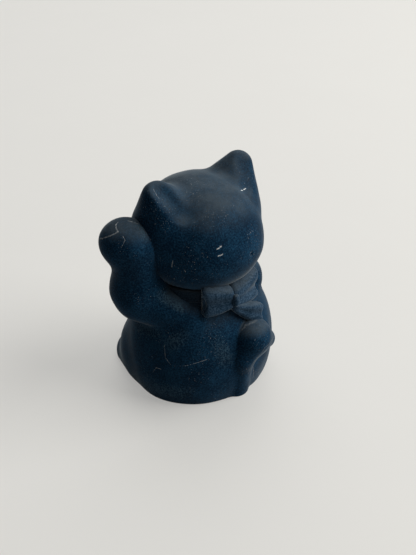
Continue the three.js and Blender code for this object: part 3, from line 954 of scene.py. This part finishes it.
# Painted highlights, partly dust: pale strokes along the lit top and right rims of the tail.
TAIL_RIM_HIGHLIGHT_AND_DUST_MARKS = (
    (0.35, 0.08, (146, 81), (206, 82), (241, 70)),
    (0.2, 0.1, (253, 27), (228, 38), (204, 42), (191, 25), (183, 10)),
)


# Finish


DEEP_SHARE = 0.6  # share of the resin's colour in the darkest tone of its grain
# Painted shade: the collar and the bell take a darker share of the bow's colour, which stands in for the
# shade in the gap under the head.
COLLAR_PAINTED_SHADE_SHARE = 0.3  # share of the bow's colour on the collar and the bell


def add_node(tree, kind, **values):
    node = tree.nodes.new(kind)
    for key, value in values.items():
        setattr(node, key, value)
    return node


def socket_value(node, **values):
    for key, value in values.items():
        node.inputs[key.replace("_", " ")].default_value = value


def new_group(name, inputs, outputs):
    """An empty shader group and the sockets inside it. An input without a value is a vector."""
    tree = bpy.data.node_groups.new(name, "ShaderNodeTree")
    for label, value in inputs.items():
        kind = "NodeSocketVector" if value is None else "NodeSocketFloat"
        made = tree.interface.new_socket(name=label, in_out="INPUT", socket_type=kind)
        if value is not None:
            made.default_value = value
    for label in outputs:
        tree.interface.new_socket(name=label, in_out="OUTPUT", socket_type="NodeSocketFloat")
    return tree, tree.nodes.new("NodeGroupInput").outputs, tree.nodes.new("NodeGroupOutput").inputs


def noise(tree, vector, size, detail, roughness=0.5):
    """Noise whose waves are about the given size."""
    node = add_node(tree, "ShaderNodeTexNoise")
    socket_value(node, Scale=1 / size, Detail=detail, Roughness=roughness)
    tree.links.new(vector, node.inputs["Vector"])
    return node.outputs["Fac"]


def ramp(tree, value, low, high, bottom=0.0, top=1.0):
    node = add_node(tree, "ShaderNodeMapRange", interpolation_type="SMOOTHSTEP")
    socket_value(node, From_Min=low, From_Max=high, To_Min=bottom, To_Max=top)
    tree.links.new(value, node.inputs["Value"])
    return node.outputs["Result"]


def combine(tree, operation, first, second):
    node = add_node(tree, "ShaderNodeMath", operation=operation)
    for place, value in enumerate((first, second)):
        if isinstance(value, (int, float)):
            node.inputs[place].default_value = value
        else:
            tree.links.new(value, node.inputs[place])
    return node.outputs[0]


def times(tree, first, second):
    return combine(tree, "MULTIPLY", first, second)


def tint(tree, amount, under, over):
    """Mixes a colour over another."""
    node = add_node(tree, "ShaderNodeMix", data_type="RGBA")
    tree.links.new(amount, node.inputs["Factor"])
    for key, value in (("A", under), ("B", over)):
        place = [s for s in node.inputs if s.name == key and s.type == "RGBA"][0]
        if isinstance(value, bpy.types.NodeSocket):
            tree.links.new(value, place)
        else:
            place.default_value = (*value, 1)
    return [s for s in node.outputs if s.type == "RGBA"][0]


def seen_directly(tree):
    """Whether a ray comes from the camera, straight or by way of gloss or glass."""
    ray = add_node(tree, "ShaderNodeLightPath").outputs
    turned = combine(tree, "MAXIMUM", ray["Is Glossy Ray"], ray["Is Transmission Ray"])
    return combine(tree, "MAXIMUM", ray["Is Camera Ray"], turned)


def cast_grain_group(name):
    """Fine tooth, pits and slow clouds of a resin casting."""
    tree, given, result = new_group(name, {"Vector": None}, ("Tone", "Height"))
    place = given["Vector"]
    clouds = noise(tree, place, 4 * MM, 4)
    tooth = noise(tree, place, 0.3 * MM, 3, 0.6)
    pits = ramp(tree, noise(tree, place, 0.45 * MM, 1), 0.28, 0.36)
    tone = combine(tree, "ADD", times(tree, clouds, 0.3), times(tree, tooth, 0.7))
    tree.links.new(ramp(tree, tone, 0.38, 0.7), result["Tone"])
    height = combine(tree, "ADD", times(tree, tooth, 0.5), times(tree, pits, 0.5))
    tree.links.new(height, result["Height"])
    return tree


def dust_and_top_light_group(name):
    """A film on faces that look up, partly settled dust and partly painted light from above, specks all
    over, and fine powder for patches.
    """
    tree, given, result = new_group(name, {"Vector": None, "Amount": 0.5}, ("Film", "Specks", "Powder"))
    place = given["Vector"]
    turned = add_node(tree, "ShaderNodeSeparateXYZ")
    tree.links.new(add_node(tree, "ShaderNodeNewGeometry").outputs["Normal"], turned.inputs[0])
    # Faces that look up are lightened, partly as settled dust and partly as painted light from above.
    upward = ramp(tree, turned.outputs["Z"], 0.35, 0.95)
    patches = ramp(tree, noise(tree, place, 2.2 * MM, 5, 0.65), 0.3, 0.7, 0.55, 1.0)
    film = times(tree, upward, patches)
    tree.links.new(times(tree, film, given["Amount"]), result["Film"])
    grains = ramp(tree, noise(tree, place, 0.24 * MM, 2, 0.5), 0.64, 0.76)
    drift = ramp(tree, noise(tree, place, 5 * MM, 2), 0.46, 0.66, 0.05, 0.65)
    specks = times(tree, grains, drift)
    tree.links.new(times(tree, specks, given["Amount"]), result["Specks"])
    tree.links.new(ramp(tree, noise(tree, place, 0.3 * MM, 4, 0.7), 0.4, 0.72), result["Powder"])
    return tree


def edge_wear_group(name):
    """Rubbed resin along the ridges of a casting."""
    tree, given, result = new_group(name, {"Vector": None, "Amount": 0.5}, ("Mask",))
    ridge = add_node(tree, "ShaderNodeAttribute", attribute_name="ridge")
    edge = ramp(tree, ridge.outputs["Fac"], 0.03, 0.11)
    broken = ramp(tree, noise(tree, given["Vector"], 0.7 * MM, 4, 0.6), 0.35, 0.65)
    worn = times(tree, edge, broken)
    tree.links.new(times(tree, worn, given["Amount"]), result["Mask"])
    return tree


def pale_mark_group(name):
    """A scratch, chip, patch or painted highlight: a ragged line between two places on the surface."""
    inputs = {"Vector": None, "Start": None, "End": None, "Width": 0.2 * MM}
    tree, given, result = new_group(name, inputs, ("Mask",))

    def vector(operation, first, second, output):
        node = add_node(tree, "ShaderNodeVectorMath", operation=operation)
        tree.links.new(first, node.inputs[0])
        tree.links.new(second, node.inputs["Scale" if operation == "SCALE" else 1])
        return node.outputs[output]

    run = vector("SUBTRACT", given["End"], given["Start"], "Vector")
    from_start = vector("SUBTRACT", given["Vector"], given["Start"], "Vector")
    dots = vector("DOT_PRODUCT", from_start, run, "Value")
    square = vector("DOT_PRODUCT", run, run, "Value")
    way = add_node(tree, "ShaderNodeClamp")
    tree.links.new(combine(tree, "DIVIDE", dots, square), way.inputs["Value"])
    along = vector("SCALE", run, way.outputs[0], "Vector")
    off = vector("DISTANCE", from_start, along, "Value")
    ragged = noise(tree, given["Vector"], 0.35 * MM, 3, 0.7)
    width = times(tree, given["Width"], ramp(tree, ragged, 0.3, 0.7, 0.2, 1.3))
    tree.links.new(ramp(tree, combine(tree, "DIVIDE", off, width), 0.55, 1.0, 1.0, 0.0), result["Mask"])
    return tree


def place_group(tree, name, maker, vector, **values):
    """Places a shared group in a material, and makes the group the first time."""
    group = bpy.data.node_groups.get(name) or maker(name)
    node = add_node(tree, "ShaderNodeGroup", node_tree=group)
    socket_value(node, **values)
    tree.links.new(vector, node.inputs["Vector"])
    return node.outputs


def resin_material(name, base, finish, marks=()):
    """Matte cast resin with dust, rubbed edges and pale marks; its upper sides are lightened partly by
    painted light, and some marks are painted highlights.
    """
    material = bpy.data.materials.get(name)
    if material:
        return material
    material = bpy.data.materials.new(name)
    material.use_nodes = True
    tree = material.node_tree
    shader = tree.nodes["Principled BSDF"]
    place = add_node(tree, "ShaderNodeTexCoord").outputs["Object"]
    grain = place_group(tree, "Cast grain", cast_grain_group, place)
    dust = place_group(tree, "Settled dust", dust_and_top_light_group, place, Amount=finish.dust_amount)
    wear = place_group(tree, "Edge wear", edge_wear_group, place, Amount=finish.wear_amount)
    deep = [DEEP_SHARE * c for c in base]
    bloom = [c * own / usual for c, own, usual in zip(finish.bloom, base, finish.resin)]
    shade = tint(tree, grain["Tone"], deep, bloom)
    # Painted light: the upper sides are tinted paler, partly as dust and partly as painted light from
    # above.
    shade = tint(tree, dust["Film"], shade, finish.dust)
    shade = tint(tree, wear["Mask"], shade, finish.resin_worn)
    shade = tint(tree, dust["Specks"], shade, finish.chip)
    for first, last, width, strength in marks:
        mark = place_group(tree, "Pale mark", pale_mark_group, place, Start=first, End=last, Width=width)
        amount = times(tree, mark["Mask"], strength)
        if width > WIDE_MARK:
            shade = tint(tree, times(tree, amount, dust["Powder"]), shade, finish.powder)
        else:
            shade = tint(tree, amount, shade, finish.chip)
    tree.links.new(shade, shader.inputs["Base Color"])
    tree.links.new(ramp(tree, grain["Tone"], 0.2, 0.8, 0.62, 0.82), shader.inputs["Roughness"])
    bump = add_node(tree, "ShaderNodeBump")
    socket_value(bump, Strength=0.35, Distance=0.06 * MM)
    tree.links.new(grain["Height"], bump.inputs["Height"])
    tree.links.new(bump.outputs["Normal"], shader.inputs["Normal"])
    socket_value(shader, Specular_IOR_Level=0.02, Sheen_Weight=0.35, Sheen_Roughness=0.3)
    socket_value(shader, Sheen_Tint=(0.85, 0.95, 1.0, 1))
    return material


# Operators


class FIGURINE_OT_body(bpy.types.Operator):
    """Builds the trunk with its haunches, drawn up round the arms, the feet and the tail"""

    bl_idname = "figurine.body"
    bl_label = "Body"

    def execute(self, context):
        scene = context.scene
        finish = scene.cat_finish
        body = body_form(scene)
        arms = [raised_arm_form(scene), lowered_arm_form(scene)]
        feet = [foot_form(scene, side) for side in (LEFT, RIGHT)]
        drawn = skirt(body, arms, spread=1.2 * MM, depth=1.4 * MM)
        drawn = skirt(drawn, [tail_form(scene)], spread=0.5 * MM, depth=0.6 * MM)
        drawn = skirt(drawn, feet, spread=2.4 * MM, depth=2.4 * MM)
        waved = uneven(drawn, amount=0.12 * MM, size=6 * MM, seed=3)
        field = below(standing(waved), scene.cat_body.neck_seat)
        middle = spot(0, neck_line(scene), 16 * MM)
        marks = placed_marks(body, middle, BODY_MARKS)
        resin = resin_material("navy resin body", finish.resin, finish, marks)
        add_piece("cat_body", "body_casting", field, step=0.3 * MM, material=resin)
        return {"FINISHED"}


class FIGURINE_OT_head(bpy.types.Operator):
    """Builds the head with its ears, ear hollows and face"""

    bl_idname = "figurine.head"
    bl_label = "Head"

    def execute(self, context):
        scene = context.scene
        finish = scene.cat_finish
        form = head_form(scene)
        field = uneven(seated(form, body_form(scene)), amount=0.12 * MM, size=6 * MM, seed=5)
        marks = placed_marks(form, head_centre(scene), HEAD_MARKS)
        resin = resin_material("navy resin head", finish.resin, finish, marks)
        add_piece("cat_head", "head_casting", field, step=0.28 * MM, material=resin)
        return {"FINISHED"}


class FIGURINE_OT_arms(bpy.types.Operator):
    """Builds the raised left arm and the lowered right arm"""

    bl_idname = "figurine.arms"
    bl_label = "Arms"

    def execute(self, context):
        scene = context.scene
        a = scene.cat_arms
        finish = scene.cat_finish
        carriers = body_form(scene), skull_form(scene)
        bare = raised_arm_form(scene)
        elbow, paw = (raised_arm_places(scene)[place] for place in (1, -1))
        marks = placed_marks(bare, paw, PAW_MARKS) + placed_marks(bare, elbow, ELBOW_POWDER_AND_HIGHLIGHT_MARKS)
        resin = resin_material("navy resin arms", finish.resin, finish, marks)
        raised = toes(bare, paw, a.paw_radius, a.toe_spacing)
        lowered_paw = lowered_arm_places(scene)[-1]
        lowered = toes(lowered_arm_form(scene), lowered_paw, a.lowered_paw_radius, a.toe_spacing)
        for name, node, form, seed in (
            ("cat_raised_arm", "raised_arm", raised, 7),
            ("cat_lowered_arm", "lowered_arm", lowered, 8),
        ):
            field = uneven(seated(form, *carriers), amount=0.1 * MM, size=5 * MM, seed=seed)
            add_piece(name, node, field, step=0.25 * MM, material=resin)
        return {"FINISHED"}


class FIGURINE_OT_feet(bpy.types.Operator):
    """Builds the two hind feet, flat under the sole"""

    bl_idname = "figurine.feet"
    bl_label = "Hind feet"

    def execute(self, context):
        scene = context.scene
        b = scene.cat_body
        finish = scene.cat_finish
        body = body_form(scene)
        resin = resin_material("navy resin feet", finish.resin, finish)
        for name, node, side in (
            ("cat_left_foot", "left_hind_foot", LEFT),
            ("cat_right_foot", "right_hind_foot", RIGHT),
        ):
            place = foot_place(scene, side)
            form = toes(foot_form(scene, side), place, b.foot_length / 2, scene.cat_arms.toe_spacing)
            waved = uneven(seated(form, body), amount=0.08 * MM, size=4 * MM, seed=11 + side)
            add_piece(name, node, standing(waved), step=0.22 * MM, material=resin)
        return {"FINISHED"}


class FIGURINE_OT_tail(bpy.types.Operator):
    """Builds the tail that stands against the back and hooks to the right"""

    bl_idname = "figurine.tail"
    bl_label = "Tail"

    def execute(self, context):
        scene = context.scene
        finish = scene.cat_finish
        form = tail_form(scene)
        waved = uneven(seated(form, body_form(scene)), amount=0.08 * MM, size=4 * MM, seed=13)
        stem = spot(0, scene.cat_body.base_depth / 2 - 2 * MM, 0.6 * scene.cat_tail.height)
        # The tail's marks are painted rim highlights, partly dust.
        marks = placed_marks(form, stem, TAIL_RIM_HIGHLIGHT_AND_DUST_MARKS)
        resin = resin_material("navy resin tail", finish.resin, finish, marks)
        add_piece("cat_tail", "tail", standing(waved), step=0.2 * MM, material=resin)
        return {"FINISHED"}


class FIGURINE_OT_collar(bpy.types.Operator):
    """Builds the collar band and the bell at the throat"""

    bl_idname = "figurine.collar"
    bl_label = "Collar and bell"

    def execute(self, context):
        scene = context.scene
        finish = scene.cat_finish
        # Painted shade: the collar and bell are coloured darker than the bow for the shade that falls
        # between the head, the arm and the bow.
        collar_painted_shade = [COLLAR_PAINTED_SHADE_SHARE * c for c in finish.bow]
        resin = resin_material("navy resin collar", collar_painted_shade, finish)
        band = uneven(collar_form(scene), amount=0.05 * MM, size=4 * MM, seed=17)
        add_piece("cat_collar", "collar_band", band, step=0.2 * MM, material=resin)
        bell = seated(bell_form(scene), body_form(scene))
        add_piece("cat_bell", "collar_bell", bell, step=0.12 * MM, material=resin)
        return {"FINISHED"}


class FIGURINE_OT_bow(bpy.types.Operator):
    """Builds the bow at the nape: a knot, two loops and a ribbon end"""

    bl_idname = "figurine.bow"
    bl_label = "Bow"

    def execute(self, context):
        scene = context.scene
        finish = scene.cat_finish
        body = body_form(scene)
        resin = resin_material("navy resin bow", finish.bow, finish)
        for name, node, form, seed in (
            ("cat_bow_knot", "bow_knot", knot_form(scene), 20),
            ("cat_bow_left_loop", "bow_left_loop", loop_form(scene, LEFT), 21),
            ("cat_bow_right_loop", "bow_right_loop", loop_form(scene, RIGHT), 22),
            ("cat_bow_right_end", "bow_right_end", ribbon_end_form(scene, RIGHT), 23),
        ):
            field = uneven(seated(form, body), amount=0.06 * MM, size=3 * MM, seed=seed)
            add_piece(name, node, field, step=0.14 * MM, material=resin)
        return {"FINISHED"}


# Table, light and camera, in metres. A lamp has the name of its power in TableSettings, a side and a place.


TABLE_HALF = 1.5
TABLE_GLOW = (1.0, 0.995, 0.97, 1)
RUBBED_SHARE = 0.95  # share of the table's colour where it is smudged
SKY_COLOUR = (0.95, 0.95, 0.93, 1)
SKY_STRENGTH = 0.75  # as the camera sees it
LAMP_COLOUR = (1.0, 0.985, 0.95)
LAMPS = (
    ("window", 0.6, Vector((-0.44, 0.36, 0.43))),
    ("ceiling", 1.0, Vector((-0.38, -0.42, 0.75))),
)
CAMERA_ANGLES = (140, 33)
CAMERA_AIM = Vector((-1.8, 0.4, 21.6)) * MM
CAMERA_DISTANCE = 172 * MM
CAMERA_VIEW = math.radians(36.8)  # from the top of the frame to its foot


class FIGURINE_OT_stage(bpy.types.Operator):
    """Sets the pale table, the soft light and the camera"""

    bl_idname = "figurine.stage"
    bl_label = "Table, light and camera"

    def execute(self, context):
        scene = context.scene
        settings = scene.figurine_table
        self.lay_table(scene, settings)
        self.light_room(scene, settings)
        for name, size, place in LAMPS:
            self.hang_lamp(scene, name, getattr(settings, name), size, place)
        self.set_camera(scene)
        scene.view_settings.view_transform = "Standard"
        return {"FINISHED"}

    def lay_table(self, scene, settings):
        mesh = bpy.data.meshes.new("table_top")
        corners = [(x * TABLE_HALF, y * TABLE_HALF, 0) for x, y in ((-1, -1), (1, -1), (1, 1), (-1, 1))]
        mesh.from_pydata(corners, [], [(0, 1, 2, 3)])
        material = bpy.data.materials.new("pale table")
        material.use_nodes = True
        tree = material.node_tree
        shader = tree.nodes["Principled BSDF"]
        place = add_node(tree, "ShaderNodeTexCoord").outputs["Object"]
        smudges = noise(tree, place, 30 * MM, 5, 0.6)
        rubbed = [RUBBED_SHARE * c for c in settings.table]
        tree.links.new(tint(tree, smudges, rubbed, settings.table), shader.inputs["Base Color"])
        glow = times(tree, seen_directly(tree), settings.backdrop)
        tree.links.new(glow, shader.inputs["Emission Strength"])
        socket_value(shader, Roughness=0.6, Emission_Color=TABLE_GLOW)
        mesh.materials.append(material)
        table = bpy.data.objects.new("table_top", mesh)
        scene.collection.objects.link(table)
        table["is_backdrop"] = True

    def light_room(self, scene, settings):
        world = bpy.data.worlds.new("room light")
        world.use_nodes = True
        tree = world.node_tree
        sky = tree.nodes["Background"]
        socket_value(sky, Color=SKY_COLOUR)
        pale = times(tree, seen_directly(tree), SKY_STRENGTH)
        tree.links.new(combine(tree, "MAXIMUM", pale, settings.room), sky.inputs["Strength"])
        scene.world = world

    def hang_lamp(self, scene, name, power, size, place):
        lamp = bpy.data.lights.new(name, "AREA")
        lamp.energy = power
        lamp.size = size
        lamp.color = LAMP_COLOUR
        hung = bpy.data.objects.new(name, lamp)
        hung.location = place
        hung.rotation_euler = (-place).to_track_quat("-Z", "Y").to_euler()
        scene.collection.objects.link(hung)

    def set_camera(self, scene):
        back = Vector(heading(*CAMERA_ANGLES))
        lens = bpy.data.cameras.new("photo view")
        lens.sensor_fit = "VERTICAL"
        lens.sensor_height = 36
        lens.lens = lens.sensor_height / (2 * math.tan(CAMERA_VIEW / 2))
        lens.clip_start = 5 * MM
        camera = bpy.data.objects.new("photo_view", lens)
        camera.location = CAMERA_AIM + CAMERA_DISTANCE * back
        camera.rotation_euler = (-back).to_track_quat("-Z", "Y").to_euler()
        scene.collection.objects.link(camera)
        scene.camera = camera


class FIGURINE_PT_sidebar(bpy.types.Panel):
    """Lists the steps that build the figurine, and its sizes and finish"""

    bl_label = "Lucky cat figurine"
    bl_idname = "FIGURINE_PT_sidebar"
    bl_space_type = "VIEW_3D"
    bl_region_type = "UI"
    bl_category = "Figurine"

    def draw(self, context):
        for step in STEPS:
            self.layout.operator(step.bl_idname)
        for name in SETTINGS:
            box = self.layout.box()
            group = getattr(context.scene, name)
            for key in group.bl_rna.properties.keys():
                if key not in ("rna_type", "name"):
                    box.prop(group, key)


STEPS = (
    FIGURINE_OT_stage,
    FIGURINE_OT_body,
    FIGURINE_OT_head,
    FIGURINE_OT_arms,
    FIGURINE_OT_feet,
    FIGURINE_OT_tail,
    FIGURINE_OT_collar,
    FIGURINE_OT_bow,
)
SETTINGS = {
    "cat_body": CatBodySizes,
    "cat_head": CatHeadSizes,
    "cat_arms": CatArmSizes,
    "cat_tail": CatTailSizes,
    "cat_bow": CatBowSizes,
    "cat_finish": CatFinish,
    "figurine_table": TableSettings,
}


def register():
    for name, group in SETTINGS.items():
        bpy.utils.register_class(group)
        setattr(bpy.types.Scene, name, bpy.props.PointerProperty(type=group))
    for step in STEPS:
        bpy.utils.register_class(step)
    bpy.utils.register_class(FIGURINE_PT_sidebar)


def unregister():
    bpy.utils.unregister_class(FIGURINE_PT_sidebar)
    for step in reversed(STEPS):
        bpy.utils.unregister_class(step)
    for name, group in reversed(SETTINGS.items()):
        delattr(bpy.types.Scene, name)
        bpy.utils.unregister_class(group)


def main():
    register()
    bpy.ops.figurine.stage()
    bpy.ops.figurine.body()
    bpy.ops.figurine.head()
    bpy.ops.figurine.arms()
    bpy.ops.figurine.feet()
    bpy.ops.figurine.tail()
    bpy.ops.figurine.collar()
    bpy.ops.figurine.bow()
    boxes = {"cad": CAD_BOX, "visual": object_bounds()}
    {name: [list(corner) for corner in box] for name, box in boxes.items()}


if __name__ == "__main__":
    main()
